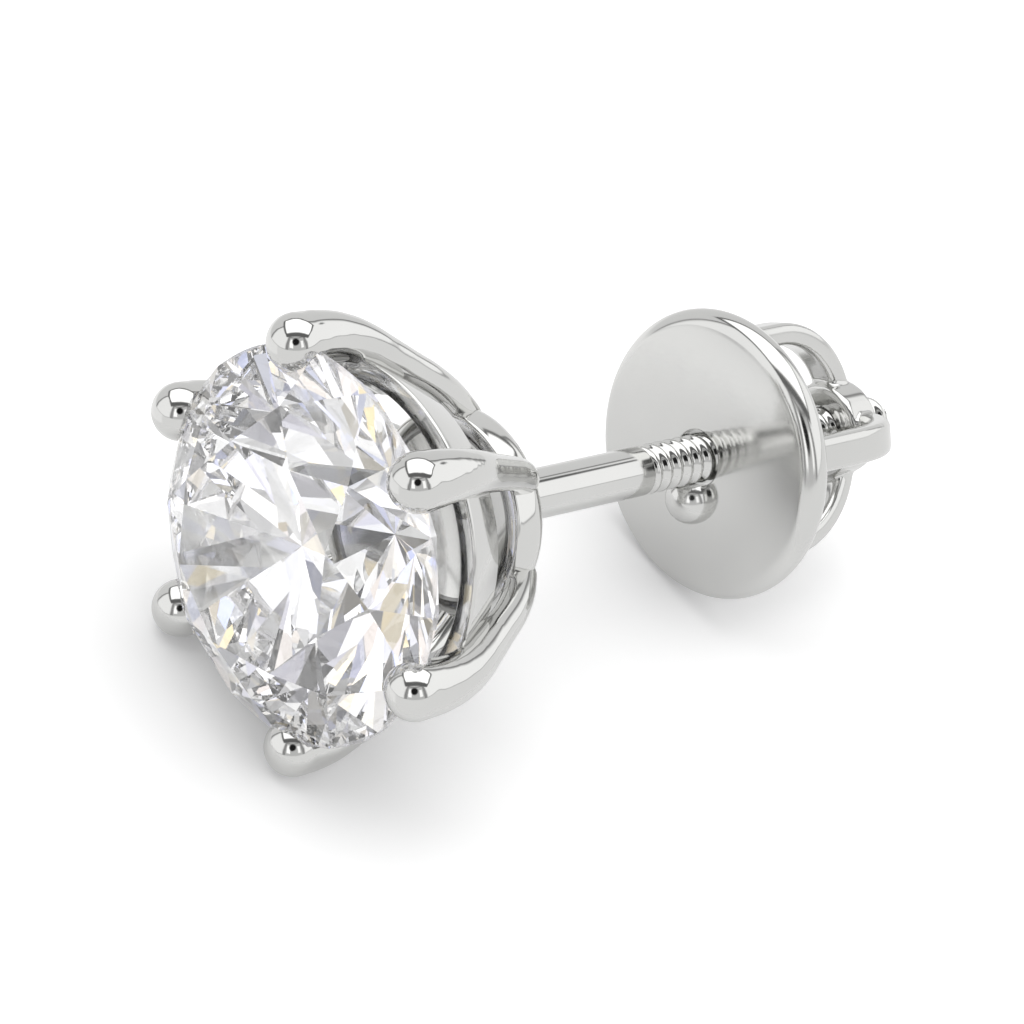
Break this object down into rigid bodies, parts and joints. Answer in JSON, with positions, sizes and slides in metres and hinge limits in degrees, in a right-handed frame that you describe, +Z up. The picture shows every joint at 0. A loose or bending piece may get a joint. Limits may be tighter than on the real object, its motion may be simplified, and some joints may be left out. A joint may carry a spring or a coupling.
{
  "type": "stud earring",
  "caption": "Stud earring with a round brilliant-cut stone held in a pronged head on a threaded post, closed by a screw-on disc back with an open cage.",
  "frame": {"origin": "middle of the bounding box on the surface the earring rests on, lying on two prong tips and the rim of its back", "axes": "+Z up, +Y along the post towards the screw back (the post falls by 4.8 degrees towards its end), the stone faces -Y, +X across"},
  "size_m": [0.0076, 0.0148, 0.0067],
  "materials": {
    "diamond": "polished facets, colourless",
    "setting_metal": "mirror-polished white gold",
    "back_metal": "mirror-polished white gold"
  },
  "bodies": {
    "stud": {"setting": "setting_metal", "stone": "diamond"},
    "back": {"screw_back": "back_metal"}
  },
  "joints": [
    {"name": "back_slide", "type": "slide", "parent": "stud", "child": "back", "axis": [0, 0.9964, -0.0843], "range_m": [-0.0041, 0.0052]}
  ]
}
